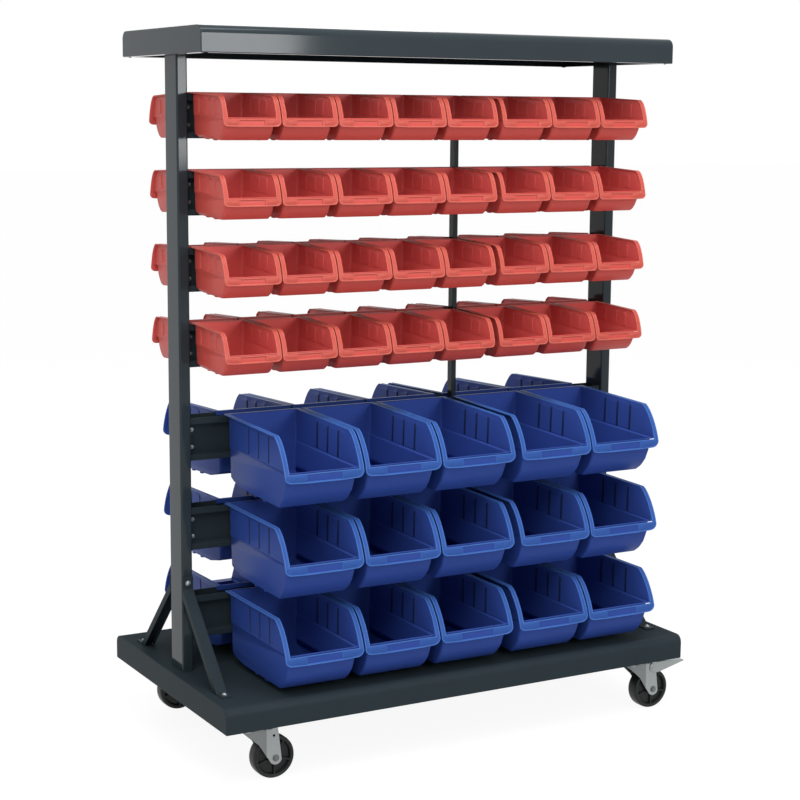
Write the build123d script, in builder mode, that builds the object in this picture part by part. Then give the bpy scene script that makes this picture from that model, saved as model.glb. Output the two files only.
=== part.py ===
from build123d import *
import os
from math import atan2, cos, radians, sin, tan

os.makedirs("parts", exist_ok=True)

# Mobile bin cart, in millimetres. The origin is on the floor under the middle of the base pan.
# +X runs along the long side, -Y is the front, +Z is up. Front and rear are mirror images.

# Sheet metal and clearances
sheet = 1.5
seat_gap = 0.3
running_clearance = 0.06
cut_overrun = 2

# Base pan and top tray: the same folded section, rolled along both long edges
cart_length = 930
base_depth = 500
tray_depth = 343
pan_height = 44
pan_roll = 14
pan_return = 15
base_bottom = 100
tray_top = 1242.5

# Cross channels inside the base, which carry the castors
channel_width = 90

# End posts, centre post and diagonal braces
post_width = 20
post_depth = 52
post_wall = 2
post_corner = 1.5
post_inset = 18
centre_post_x = 106
centre_post_width = 9
centre_post_wall = 1.5
brace_sheet = 2.5
brace_flange = 12
brace_tab = 22
brace_side_inset = 70
brace_rise = 158.5

# Pressed rails that the bins hang on
rail_height = 74
rail_top_lip = 12
rail_bottom_lip = 10
rail_face = 21
rail_web_face = 10
small_rail_top = 1136
small_rail_pitch = 128.5
small_rows = 4
large_rail_top = 589
large_rail_pitch = 156.7
large_rows = 3
cleat_reach = 19
cleat_sheet = 2

# Bins: outer sizes at the rim, walls, and where the front falls to its lip.
# The lip stands forward of the tub by the reach, and the nose is how far back the foot starts.
bin_wall = 2
hook_drop = 8
small_bin_width = 102.5
small_bin_depth = 141
small_bin_height = 73
small_bin_taper = 7
small_bin_flange = 0
small_bin_reach = 0
small_bin_nose = 26
small_bin_front_drop = 36
small_bin_front_run = 19
small_bin_lip = 14
small_bin_pitch = 104.5
small_post_space = 8
small_row_margin = 5
small_hang = 2.5
small_front_shares = ()
large_bin_width = 146
large_bin_depth = 241
large_bin_height = 122
large_bin_taper = 4
large_bin_flange = 7
large_bin_reach = 12
large_bin_nose = 43
large_bin_front_drop = 61
large_bin_front_run = 41
large_bin_lip = 14
large_bin_pitch = 149
large_post_space = 11
large_row_margin = 64
large_hangs = (2, 1.2, 0.4)
large_front_shares = ((0.65, 0.5),)

# Castors
castor_end_inset = 72
castor_side_inset = 45
castor_trail = 30
wheel_radius = 37.5
wheel_width = 24
wheel_rim = 7
wheel_dish = 6
hub_radius = 12
wheel_sides = 32
round_sides = 12
pin_sides = 8
axle_radius = 4
axle_head_radius = 6.5
axle_head_height = 3
fork_sheet = 2.5
fork_side_gap = 2.7
fork_crown_z = 87.5
fork_front = 24
fork_end_radius = 11.5
fork_back = 38
plate_size = 66
plate_sheet = 2.5
plate_bolt_spacing = 49
plate_bolt_head = 11
plate_bolt_height = 5
race_radius = 22
kingpin_radius = 5
kingpin_head_radius = 9
kingpin_head_height = 2.5
pedal_pivot_x = 27
pedal_pivot_z = 79
pedal_pin_radius = 3
pedal_reach = 99
pedal_sheet = 2
pedal_shoe_x = 55
pedal_shoe_drop = 5.5

# Derived places
base_top = base_bottom + pan_height
post_outset = cart_length / 2 - post_inset
castor_outset = cart_length / 2 - castor_end_inset
castor_spread = base_depth / 2 - castor_side_inset
brace_reach = base_depth / 2 - brace_side_inset
post_half = post_depth / 2
plate_bottom = base_bottom - plate_sheet
rail_top_z = [small_rail_top - i * small_rail_pitch for i in range(small_rows)]
large_top_z = [large_rail_top - i * large_rail_pitch for i in range(large_rows)]
post_inner = post_outset - post_width
rail_web_inner = rail_web_face - sheet
rail_length = 2 * (post_inner - seat_gap)
rail_web_middle = (rail_top_lip + rail_height - rail_bottom_lip) / 2
castor_places = {
    "front_left": (-castor_outset, -castor_spread),
    "front_right": (castor_outset, -castor_spread),
    "rear_left": (-castor_outset, castor_spread),
    "rear_right": (castor_outset, castor_spread),
}
braked_castors = ["front_right", "rear_right"]


def save(part, name):
    """Labels a finished piece and writes its STEP file."""
    part.label = name
    export_step(part, f"parts/{name}.step")


def group(solids):
    """Separate like pieces that share one node."""
    return Compound(children=solids)


# Base pan and top tray


def folded_pan(length, depth, bottom):
    """Inverted sheet pan: rolled long edges, and a return flange round its open underside."""
    with BuildPart() as pan:
        for inset, ends in ((0, 0), (sheet, sheet)):
            with BuildSketch(Plane.YZ) as section:
                with Locations((0, bottom + pan_height / 2)):
                    Rectangle(depth - 2 * inset, pan_height - 2 * inset)
                fillet(section.vertices().group_by(Axis.Y)[-1], pan_roll - inset)
            extrude(amount=length / 2 - ends, both=True, mode=Mode.SUBTRACT if inset else Mode.ADD)
        with BuildSketch(Plane.XY.offset(bottom - cut_overrun)):
            Rectangle(length - 2 * pan_return, depth - 2 * pan_return)
        extrude(amount=sheet + 2 * cut_overrun, mode=Mode.SUBTRACT)
    return pan.part


base_pan = folded_pan(cart_length, base_depth, base_bottom)
save(base_pan, "base_pan")
top_tray = folded_pan(cart_length, tray_depth, tray_top - pan_height)
save(top_tray, "top_tray")


# Cross channels: open upward, between the return flanges and up against the pan's skin

with BuildPart() as channel:
    with BuildSketch(Plane.XZ) as section:
        channel_height = pan_height - sheet
        with Locations((0, base_bottom + channel_height / 2)):
            Rectangle(channel_width, channel_height)
        with Locations((0, base_bottom + sheet + channel_height / 2)):
            Rectangle(channel_width - 2 * sheet, channel_height, mode=Mode.SUBTRACT)
    extrude(amount=base_depth / 2 - pan_return - seat_gap, both=True)
save(
    group([Pos(side * castor_outset, 0, 0) * channel.part for side in (-1, 1)]),
    "cross_channels",
)


# Posts


def tube(width, depth, wall, corner, low, high):
    """Upright rectangular tube with broken corners."""
    with BuildPart() as post:
        with BuildSketch(Plane.XY.offset(low)) as section:
            Rectangle(width, depth)
            chamfer(section.vertices(), corner)
            Rectangle(width - 2 * wall, depth - 2 * wall, mode=Mode.SUBTRACT)
        extrude(amount=high - low)
    return post.part


end_post = tube(post_width, post_depth, post_wall, post_corner, base_top, tray_top - sheet)
post_centre_x = post_outset - post_width / 2
save(Pos(-post_centre_x, 0, 0) * end_post, "post_left")
save(Pos(post_centre_x, 0, 0) * end_post, "post_right")

with BuildPart() as centre_post:
    with BuildSketch(Plane.XY.offset(base_top)):
        with Locations((centre_post_x, 0)):
            Rectangle(centre_post_width, 2 * rail_web_inner)
            Rectangle(
                centre_post_width - 2 * centre_post_wall,
                2 * (rail_web_inner - centre_post_wall),
                mode=Mode.SUBTRACT,
            )
    extrude(amount=small_rail_top - rail_top_lip - base_top)
save(centre_post.part, "post_centre")


# Diagonal braces: one folded strip with a flat tab at each end and a flange down both sides

with BuildPart() as brace:
    post_bolt_z = base_top + brace_rise
    top_y = post_half + brace_sheet
    top_z = post_bolt_z - brace_tab / 2
    foot_y = brace_reach - brace_tab / 2
    foot_z = base_top + brace_sheet
    lean = atan2(top_z - foot_z, foot_y - top_y)
    across_y = -sin(lean)
    across_z = -cos(lean)
    # how far along the strip each flange is mitred, to stay off the post and the pan
    top_mitre = (brace_flange * sin(lean) - brace_sheet + seat_gap) / cos(lean)
    foot_mitre = (brace_flange * cos(lean) - brace_sheet + seat_gap) / sin(lean)
    with BuildSketch(Plane.YZ):
        with Locations((-post_half - brace_sheet / 2, post_bolt_z)):
            Rectangle(brace_sheet, brace_tab)
        with Locations((-brace_reach, base_top + brace_sheet / 2)):
            Rectangle(brace_tab, brace_sheet)
        with BuildLine():
            Polyline(
                (-top_y, top_z),
                (-foot_y, foot_z),
                (-foot_y, base_top),
                (-foot_y - across_y * brace_sheet, base_top),
                (-post_half, top_z + across_z * brace_sheet),
                (-post_half, top_z),
                close=True,
            )
        make_face()
    extrude(amount=post_width / 2, both=True)
    with BuildSketch(Plane.YZ.offset(-post_width / 2)):
        with BuildLine():
            Polyline(
                (-top_y, top_z),
                (-foot_y, foot_z),
                (
                    -foot_y + foot_mitre * cos(lean) - across_y * brace_flange,
                    foot_z + foot_mitre * sin(lean) + across_z * brace_flange,
                ),
                (
                    -top_y - top_mitre * cos(lean) - across_y * brace_flange,
                    top_z - top_mitre * sin(lean) + across_z * brace_flange,
                ),
                close=True,
            )
        make_face()
    extrude(amount=sheet)
    mirror(about=Plane.YZ)
front_brace = brace.part
rear_brace = front_brace.mirror(Plane.XZ)
for side, sign in (("left", -1), ("right", 1)):
    save(Pos(sign * post_centre_x, 0, 0) * front_brace, f"brace_front_{side}")
    save(Pos(sign * post_centre_x, 0, 0) * rear_brace, f"brace_rear_{side}")


# Rails: a pressed strip whose web is set back between an upright lip and a lower lip

with BuildPart() as rail:
    with BuildSketch(Plane.YZ):
        with BuildLine():
            Polyline(
                (-rail_face, 0),
                (-rail_face + sheet, 0),
                (-rail_face + sheet, sheet - rail_top_lip),
                (-rail_web_inner, sheet - rail_top_lip),
                (-rail_web_inner, rail_bottom_lip - rail_height - sheet),
                (-rail_face + sheet, rail_bottom_lip - rail_height - sheet),
                (-rail_face + sheet, -rail_height),
                (-rail_face, -rail_height),
                (-rail_face, rail_bottom_lip - rail_height),
                (-rail_web_face, rail_bottom_lip - rail_height),
                (-rail_web_face, -rail_top_lip),
                (-rail_face, -rail_top_lip),
                close=True,
            )
        make_face()
    extrude(amount=rail_length / 2, both=True)
front_rail = rail.part
rear_rail = front_rail.mirror(Plane.XZ)
for face, one in (("front", front_rail), ("rear", rear_rail)):
    save(group([Pos(0, 0, z) * one for z in rail_top_z]), f"rails_{face}_small")
    save(group([Pos(0, 0, z) * one for z in large_top_z]), f"rails_{face}_large")


# Rail cleats: a folded U on the end post at every row, which both rails' webs close on

with BuildPart() as cleat:
    cleat_height = rail_height - rail_top_lip - rail_bottom_lip - 2 * sheet
    with BuildSketch(Plane.XY.offset(-rail_web_middle - cleat_height / 2)):
        with Locations((cleat_reach / 2, 0)):
            Rectangle(cleat_reach, 2 * rail_web_inner)
        with Locations((cleat_reach / 2 + cleat_sheet, 0)):
            Rectangle(cleat_reach, 2 * (rail_web_inner - cleat_sheet), mode=Mode.SUBTRACT)
    extrude(amount=cleat_height)
left_cleat = cleat.part
right_cleat = left_cleat.mirror(Plane.YZ)
cleats = []
for z in rail_top_z + large_top_z:
    cleats.append(Pos(-post_inner, 0, z) * left_cleat)
    cleats.append(Pos(post_inner, 0, z) * right_cleat)
save(group(cleats), "rail_cleats")


# Fastener heads: brace bolts, castor plate bolts

with BuildPart() as brace_heads:
    with BuildSketch(Plane.XZ.offset(top_y)):
        with Locations((0, post_bolt_z)):
            RegularPolygon(plate_bolt_head / 2, 6)
    extrude(amount=plate_bolt_height)
    with BuildSketch(Plane.XY.offset(foot_z)):
        with Locations((0, -brace_reach)):
            RegularPolygon(plate_bolt_head / 2, 6)
    extrude(amount=plate_bolt_height)
front_heads = brace_heads.part
rear_heads = front_heads.mirror(Plane.XZ)
heads = []
for sign in (-1, 1):
    for pair in (front_heads, rear_heads):
        heads.extend((Pos(sign * post_centre_x, 0, 0) * pair).solids())
save(group(heads), "brace_bolts")

with BuildPart() as plate_bolts:
    with BuildSketch(Plane.XY.offset(plate_bottom)):
        with GridLocations(plate_bolt_spacing, plate_bolt_spacing, 2, 2):
            RegularPolygon(plate_bolt_head / 2, 6)
    extrude(amount=-plate_bolt_height)
bolts = []
for x, y in castor_places.values():
    bolts.extend((Pos(x, y, 0) * plate_bolts.part).solids())
save(group(bolts), "castor_bolts")


# Castors: made on a swivel axis at the origin, with the wheel trailing toward +X.
# Their round parts are many-sided, with shafts inside and holes outside the true circle.

fork_crown_top = fork_crown_z + fork_sheet
fork_half = wheel_width / 2 + fork_side_gap + fork_sheet
fork_round = fork_half - fork_front
axle_z = wheel_radius


def round_hole(radius, side_count):
    """A hole's outline, whose flats clear a shaft of this radius at any angle."""
    return RegularPolygon(radius, side_count, major_radius=False)


with BuildPart() as castor_plate:
    with BuildSketch(Plane.XY.offset(plate_bottom)):
        Rectangle(plate_size, plate_size)
    extrude(amount=plate_sheet)
    with BuildSketch(Plane.XY.offset(fork_crown_top + seat_gap)):
        RegularPolygon(race_radius, round_sides)
    extrude(amount=plate_bottom - fork_crown_top - seat_gap)
    with BuildSketch(Plane.XY.offset(fork_crown_z - seat_gap)):
        RegularPolygon(kingpin_radius, round_sides)
    extrude(amount=fork_sheet + 2 * seat_gap)
    with BuildSketch(Plane.XY.offset(fork_crown_z - seat_gap - kingpin_head_height)):
        RegularPolygon(kingpin_head_radius, round_sides)
    extrude(amount=kingpin_head_height)
save(
    group([Pos(x, y, 0) * castor_plate.part for x, y in castor_places.values()]),
    "castor_plates",
)

with BuildPart() as fork:
    # pressed U in plan, closed in front by a half round and on top by the crown
    for inset, height in ((0, fork_crown_top), (fork_sheet, fork_crown_z)):
        with BuildSketch(Plane.XY):
            with Locations((fork_round, 0)):
                RegularPolygon(fork_half - inset, round_sides, major_radius=False)
            with Locations(((fork_round + castor_trail + fork_end_radius) / 2, 0)):
                Rectangle(
                    castor_trail + fork_end_radius - fork_round, 2 * (fork_half - inset)
                )
        extrude(amount=height, mode=Mode.SUBTRACT if inset else Mode.ADD)
    # side outline: a neck swept down from the crown, a round end about the axle, a steep back
    with BuildSketch(Plane.XZ):
        with BuildLine():
            Polyline(
                (fork_back, fork_crown_top),
                (-fork_front, fork_crown_top),
                (-fork_front, fork_crown_z - fork_sheet),
                (0, fork_crown_z - fork_front),
                (
                    castor_trail + fork_end_radius * cos(radians(210)),
                    axle_z + fork_end_radius * sin(radians(210)),
                ),
                (castor_trail, axle_z),
                (castor_trail + fork_end_radius, axle_z),
                close=True,
            )
        make_face()
        with Locations((castor_trail, axle_z)):
            RegularPolygon(fork_end_radius, round_sides)
    extrude(amount=fork_half, both=True, mode=Mode.INTERSECT)
    with BuildSketch(Plane.XY.offset(fork_crown_z)):
        round_hole(kingpin_radius + running_clearance, round_sides)
    extrude(amount=fork_sheet, mode=Mode.SUBTRACT)
    with BuildSketch(Plane.XZ):
        with Locations((castor_trail, axle_z)):
            round_hole(axle_radius, round_sides)
        with Locations((pedal_pivot_x, pedal_pivot_z)):
            round_hole(pedal_pin_radius + running_clearance, pin_sides)
    extrude(amount=fork_half, both=True, mode=Mode.SUBTRACT)

with BuildPart() as axle:
    with BuildSketch(Plane.XZ.offset(-fork_half)):
        with Locations((castor_trail, axle_z)):
            RegularPolygon(axle_radius, round_sides)
    extrude(amount=2 * fork_half)
    for face in (fork_half, -fork_half - axle_head_height):
        with BuildSketch(Plane.XZ.offset(face)):
            with Locations((castor_trail, axle_z)):
                RegularPolygon(axle_head_radius, 6)
        extrude(amount=axle_head_height)

with BuildPart() as wheel:
    with BuildSketch(Plane.XZ):
        with Locations((castor_trail, axle_z)):
            RegularPolygon(wheel_radius, wheel_sides)
    extrude(amount=wheel_width / 2, both=True)
    with BuildSketch(Plane.XZ.offset(wheel_width / 2 - wheel_dish)):
        with Locations((castor_trail, axle_z)):
            RegularPolygon(wheel_radius - wheel_rim, wheel_sides // 2)
    extrude(amount=wheel_dish, mode=Mode.SUBTRACT)
    with BuildSketch(Plane.XZ.offset(-wheel_width / 2)):
        with Locations((castor_trail, axle_z)):
            RegularPolygon(wheel_radius - wheel_rim, wheel_sides // 2)
    extrude(amount=wheel_dish, mode=Mode.SUBTRACT)
    with BuildSketch(Plane.XZ):
        with Locations((castor_trail, axle_z)):
            RegularPolygon(hub_radius, round_sides)
    extrude(amount=wheel_width / 2 + fork_side_gap - seat_gap, both=True)
    with BuildSketch(Plane.XZ):
        with Locations((castor_trail, axle_z)):
            round_hole(axle_radius + running_clearance, round_sides)
    extrude(amount=wheel_width, both=True, mode=Mode.SUBTRACT)

# Brake pedal: a pressed lever whose cheeks straddle the fork, with a shoe over the tread
cheek_inner = fork_half + seat_gap
cheek_outer = cheek_inner + pedal_sheet
with BuildPart() as pedal:
    pedal_top = fork_crown_top
    deck_start = fork_back + fork_sheet + seat_gap * 2
    tip_z = pedal_top - pedal_sheet * 2
    with BuildSketch(Plane.XZ):
        with BuildLine():
            Polyline(
                (pedal_pivot_x - pedal_pin_radius * 2, pedal_pivot_z + pedal_pin_radius * 2),
                (pedal_pivot_x, pedal_top),
                (deck_start + fork_end_radius, pedal_top),
                (pedal_reach, tip_z),
                (pedal_reach, tip_z - pedal_sheet),
                (deck_start, pedal_pivot_z - pedal_pin_radius * 3),
                (pedal_pivot_x + pedal_pin_radius, pedal_pivot_z - pedal_pin_radius * 3),
                (pedal_pivot_x - pedal_pin_radius * 2, pedal_pivot_z - pedal_pin_radius),
                close=True,
            )
        make_face()
    extrude(amount=cheek_outer, both=True)
    with BuildSketch(Plane.XZ):
        with BuildLine():
            Polyline(
                (0, 0),
                (0, pedal_top * 2),
                (deck_start, pedal_top * 2),
                (deck_start, pedal_top - pedal_sheet),
                (deck_start + fork_end_radius, pedal_top - pedal_sheet),
                (pedal_reach + pedal_sheet, tip_z - pedal_sheet),
                (pedal_reach + pedal_sheet, 0),
                close=True,
            )
        make_face()
    extrude(amount=cheek_inner, both=True, mode=Mode.SUBTRACT)
    with BuildSketch(Plane.XZ):
        with Locations((pedal_pivot_x, pedal_pivot_z)):
            RegularPolygon(pedal_pin_radius, pin_sides)
    extrude(amount=cheek_outer, both=True)
    shoe_bottom = pedal_pivot_z - pedal_shoe_drop
    with BuildSketch(Plane.XZ):
        with Locations((pedal_shoe_x, (pedal_top - pedal_sheet + shoe_bottom) / 2)):
            Rectangle(pedal_sheet, pedal_top - pedal_sheet - shoe_bottom)
    extrude(amount=wheel_width / 4, both=True)

for name, (x, y) in castor_places.items():
    save(Pos(x, y, 0) * fork.part, f"fork_{name}")
    save(Pos(x, y, 0) * axle.part, f"axle_{name}")
    save(Pos(x, y, 0) * wheel.part, f"wheel_{name}")
for name in braked_castors:
    x, y = castor_places[name]
    save(Pos(x, y, 0) * pedal.part, f"brake_pedal_{name}")


# Bins


def storage_bin(
    width, depth, height, taper, flange, reach, nose, drop, run, lip, hang, chord_shares
):
    """Open-fronted bin: rim at z 0, back at y 0 leaning by the hanging angle, front at -Y."""
    back_lean = height * tan(radians(hang))
    # a lip that stands forward is a shelf one wall thick with a band turned down from its edge
    shelf = bin_wall if reach > 0 else lip
    nose_slope = (nose - reach) / (height - drop - shelf)
    body_half = width / 2 - flange
    # the front edge of the sides, from the level rim down to the lip
    chords = [(-depth + run * (1 - along), -drop * down) for along, down in chord_shares]
    edge = [(-depth + run, 0), *chords]
    outer_front = [*edge, (-depth, -drop), (-depth, -drop - shelf)]
    if reach > 0:
        outer_front.append((-depth + reach, -drop - shelf))
    inner_front = [
        *[(y - bin_wall, z + bin_wall) for y, z in edge],
        (-depth - bin_wall, -drop),
        (-depth + reach + bin_wall, -drop),
        (-depth + reach + bin_wall, -drop - shelf),
    ]
    sides = []
    for inset, front in ((0, outer_front), (bin_wall, inner_front)):
        foot = inset - height
        with BuildPart() as prism:
            with BuildSketch(Plane.YZ):
                with BuildLine():
                    Polyline(
                        (-inset - back_lean * (height - inset) / height, foot),
                        (-inset, inset),
                        *front,
                        (-depth + nose - nose_slope * inset + inset, foot),
                        close=True,
                    )
                make_face()
            extrude(amount=width / 2, both=True)
            with BuildSketch(Plane.XZ):
                with BuildLine():
                    Polyline(
                        (inset - body_half, inset),
                        (body_half - inset, inset),
                        (body_half - inset - taper, foot),
                        (taper + inset - body_half, foot),
                        close=True,
                    )
                make_face()
            extrude(amount=depth + cut_overrun * 2, mode=Mode.INTERSECT)
        sides.append(prism.part)
    hook_back = sheet + 3 * seat_gap + bin_wall
    with BuildPart() as tub:
        add(sides[0])
        if flange > 0:
            # one wall thick, along the sides and down the front edge to the lip
            with BuildSketch(Plane.YZ):
                with BuildLine():
                    Polyline(
                        (0, -bin_wall),
                        (0, 0),
                        *edge,
                        (-depth, -drop),
                        (-depth, -drop - lip),
                        (-depth + bin_wall, -drop - lip),
                        (-depth + bin_wall, -drop - bin_wall),
                        *[(y + bin_wall, z - bin_wall) for y, z in reversed(edge)],
                        close=True,
                    )
                make_face()
            extrude(amount=width / 2, both=True)
        add(sides[1], mode=Mode.SUBTRACT)
        with BuildSketch(Plane.YZ):
            with Locations(((hook_back - bin_wall) / 2, -bin_wall / 2)):
                Rectangle(hook_back + bin_wall, bin_wall)
            with Locations((hook_back - bin_wall / 2, -hook_drop / 2)):
                Rectangle(bin_wall, hook_drop)
        extrude(amount=body_half - taper, both=True)
    return tub.part


small_bin = storage_bin(
    small_bin_width,
    small_bin_depth,
    small_bin_height,
    small_bin_taper,
    small_bin_flange,
    small_bin_reach,
    small_bin_nose,
    small_bin_front_drop,
    small_bin_front_run,
    small_bin_lip,
    small_hang,
    small_front_shares,
)
large_bin = storage_bin(
    large_bin_width,
    large_bin_depth,
    large_bin_height,
    large_bin_taper,
    large_bin_flange,
    large_bin_reach,
    large_bin_nose,
    large_bin_front_drop,
    large_bin_front_run,
    large_bin_lip,
    max(large_hangs),
    large_front_shares,
)


def row_places(width, pitch, space, margin):
    """Bin centres along a row: as many as fit, with a wider space past the centre post."""
    places = []
    for i in range(int(2 * post_inner / pitch)):
        right = margin - post_inner + width + i * pitch
        if right > centre_post_x:
            right += space
        if right < post_inner:
            places.append(right - width / 2)
    return places


def hung(one, x, z, turn, hang):
    """One bin hung on a rail, seat_gap off its lips."""
    reach = -rail_face - seat_gap if turn == 0 else rail_face + seat_gap
    return Pos(x, reach, z + bin_wall + seat_gap) * Rot(0, 0, turn) * Rot(hang, 0, 0) * one


small_places = row_places(small_bin_width, small_bin_pitch, small_post_space, small_row_margin)
large_places = row_places(large_bin_width, large_bin_pitch, large_post_space, large_row_margin)
for face, turn in (("front", 0), ("rear", 180)):
    for row, z in enumerate(rail_top_z, 1):
        bins = [hung(small_bin, x, z, turn, small_hang) for x in small_places]
        save(group(bins), f"small_bins_{face}_{row}")
    for row, z in enumerate(large_top_z, 1):
        bins = [hung(large_bin, x, z, turn, large_hangs[row - 1]) for x in large_places]
        if face == "front" and row == 1:
            for i, one in enumerate(bins, 1):
                save(one, f"large_bin_{i}")
        else:
            save(group(bins), f"large_bins_{face}_{row}")
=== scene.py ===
"""Looks of a mobile bin cart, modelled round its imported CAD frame."""

import math
from typing import NamedTuple

import bmesh
import bpy
from bpy.props import FloatProperty, FloatVectorProperty, PointerProperty
from mathutils import Matrix, Vector
from mathutils.geometry import interpolate_bezier


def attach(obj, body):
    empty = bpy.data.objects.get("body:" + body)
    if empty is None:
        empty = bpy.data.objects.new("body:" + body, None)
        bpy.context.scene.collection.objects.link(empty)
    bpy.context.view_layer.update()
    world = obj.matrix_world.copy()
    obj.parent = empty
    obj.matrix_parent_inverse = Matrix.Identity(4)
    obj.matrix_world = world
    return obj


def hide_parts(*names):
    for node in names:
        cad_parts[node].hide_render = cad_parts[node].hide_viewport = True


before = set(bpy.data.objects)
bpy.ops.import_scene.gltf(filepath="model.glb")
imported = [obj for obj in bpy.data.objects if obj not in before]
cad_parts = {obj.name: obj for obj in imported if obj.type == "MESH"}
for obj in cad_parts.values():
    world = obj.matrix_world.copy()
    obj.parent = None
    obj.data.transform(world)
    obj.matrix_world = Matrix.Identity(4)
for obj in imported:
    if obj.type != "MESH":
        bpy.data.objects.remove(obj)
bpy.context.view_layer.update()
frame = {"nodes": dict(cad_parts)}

bl_info = {
    "name": "Mobile Bin Cart",
    "version": (1, 0, 0),
    "blender": (4, 5, 0),
    "location": "3D Viewport > Sidebar > Bin Cart",
    "description": "Builds the pieces, finishes and studio of a mobile bin cart",
    "category": "Object",
}

# The modelling functions work in millimetres, and a finished piece is scaled to metres
MM = 0.001

# Each side of the cart, and the turn about Z that brings the front's shapes there
FACES = (("front", 0), ("rear", math.pi))


# Properties


def colour(name, description, default):
    """A colour that a user would change."""
    return FloatVectorProperty(
        name=name, description=description, default=default, subtype="COLOR", size=3, min=0, max=1
    )


def length(name, description, default):
    """A length that a user would change, in metres."""
    return FloatProperty(name=name, description=description, default=default, min=0, unit="LENGTH")


class CartFinish(bpy.types.PropertyGroup):
    """Colours of the cart's finishes."""

    frame: colour(
        "Frame enamel", "Dark blue-grey enamel of the sheet metal", (0.0185, 0.0265, 0.0315)
    )
    small_bin: colour("Small bins", "Red plastic of the small bins", (0.45, 0.061, 0.05))
    large_bin: colour("Large bins", "Blue plastic of the large bins", (0.021, 0.048, 0.22))
    # painted light: the rims and lips are the bins' own plastic, given a tint for the light that
    # falls on the upturned flange
    small_rim_painted_light: colour("Small bins' rim", "Lighter red of the rim and lip", (0.4, 0.064, 0.048))
    large_rim_painted_light: colour("Large bins' rim", "Lighter blue of the rim and lip", (0.024, 0.068, 0.25))
    # painted highlight: the beads are lighter still, for the bright lines of light along the rim's
    # edges
    small_bead_painted_highlight: colour(
        "Small bins' bead", "Lightest red, of the bead round the rim", (0.44, 0.088, 0.066)
    )
    large_bead_painted_highlight: colour(
        "Large bins' bead", "Lightest blue, of the bead round the rim", (0.042, 0.11, 0.34)
    )
    # painted shade: a darker blue for the shade that falls deep in the pressed grooves
    large_groove_painted_shade: colour(
        "Large bins' grooves", "Darker blue deep in the pressed grooves", (0.012, 0.022, 0.07)
    )
    # painted light: the insides are brighter than the outsides, standing in for the light that
    # falls into the bins
    small_inside: colour(
        "Small bins' inside", "Red of the inside, which light through the thin wall brightens",
        (0.6, 0.092, 0.084),
    )
    large_inside: colour(
        "Large bins' inside", "Blue of the inside, which light through the thin wall brightens",
        (0.034, 0.072, 0.31),
    )
    zinc: colour("Zinc", "Bright zinc plating of castors and bolts", (0.3, 0.32, 0.32))
    wheel: colour("Wheels", "Black plastic of the wheels", (0.0072, 0.0092, 0.0092))


class CartSizes(bpy.types.PropertyGroup):
    """Main sizes of the pans."""

    base_length: length("Base length", "Length of the base pan and of the top tray", 0.93)
    base_depth: length("Base depth", "Depth of the base pan", 0.5)
    tray_depth: length("Tray depth", "Depth of the top tray", 0.343)
    pan_height: length("Pan height", "Height of the folded edge of base and tray", 0.044)
    pan_roll: length("Pan roll", "Radius of the rolled long edges", 0.014)


# Mesh helpers


def verts_of(result):
    """The vertices that an operator made."""
    return [v for v in result["geom"] if isinstance(v, bmesh.types.BMVert)]


def once(elements):
    """The elements without repeats, in their own order, which is the same in each run."""
    return list(dict.fromkeys(elements))


def along_x(edge):
    """True for an edge that runs along X."""
    a, b = (v.co for v in edge.verts)
    return abs(a.y - b.y) < 1e-3 and abs(a.z - b.z) < 1e-3


def uprights(bm):
    """The edges that rise by more than a millimetre."""
    return [e for e in bm.edges if abs(e.verts[0].co.z - e.verts[1].co.z) > 1]


def round_edges(bm, edges, radius, segments=4):
    """Rounds some edges."""
    bmesh.ops.bevel(
        bm, geom=list(edges), offset=radius, offset_type="OFFSET", segments=segments,
        profile=0.5, affect="EDGES", clamp_overlap=True, material=-1,
    )


def round_corners(bm, verts, radius, segments=4):
    """Rounds the corners of a flat face or of a sheet's boundary."""
    bmesh.ops.bevel(
        bm, geom=list(verts), offset=radius, offset_type="OFFSET", segments=segments,
        profile=0.5, affect="VERTICES", clamp_overlap=True, material=-1,
    )


def cut(bm, point, normal, clear=False, faces=None):
    """Cuts all or some faces along a plane, and clears what lies on the normal's side if asked."""
    geom = bm.verts[:] + bm.edges[:] + bm.faces[:]
    if faces is not None:
        geom = once(part for f in faces for part in (*f.verts, *f.edges)) + list(faces)
    bmesh.ops.bisect_plane(
        bm, geom=geom, dist=1e-5, plane_co=point, plane_no=normal, clear_outer=clear
    )


def merge_near(bm, distance):
    """Merges near points. Their places give the order, so that each run merges them alike."""
    bm.verts.sort(
        key=lambda v: round(v.co.x, 3) * 1e6 + round(v.co.y, 3) * 1e3 + round(v.co.z, 3)
    )
    bmesh.ops.remove_doubles(bm, verts=bm.verts[:], dist=distance)


def outwards(bm, wanted=None):
    """Merges doubles and points the faces outwards, or a sheet's faces toward a direction."""
    bmesh.ops.remove_doubles(bm, verts=bm.verts[:], dist=1e-3)
    bmesh.ops.recalc_face_normals(bm, faces=bm.faces[:])
    if wanted is not None:
        total = sum((f.normal * f.calc_area() for f in bm.faces), Vector())
        if total.dot(Vector(wanted)) < 0:
            bmesh.ops.reverse_faces(bm, faces=bm.faces[:])


def block(bm, low, high, radius=0, segments=3):
    """A box between two corners, with rounded edges if it has a radius."""
    made = bmesh.ops.create_cube(bm, size=1)["verts"]
    size = [h - l for l, h in zip(low, high)]
    middle = [(h + l) / 2 for l, h in zip(low, high)]
    bmesh.ops.scale(bm, vec=size, verts=made)
    bmesh.ops.translate(bm, vec=middle, verts=made)
    if radius:
        round_edges(bm, once(e for v in made for e in v.link_edges), radius, segments)


def aimed(centre, axis):
    """The place of a shape whose origin moves to a centre and whose Z turns to an axis."""
    turn = Vector((0, 0, 1)).rotation_difference(Vector(axis)).to_matrix().to_4x4()
    return Matrix.Translation(centre) @ turn


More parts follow.
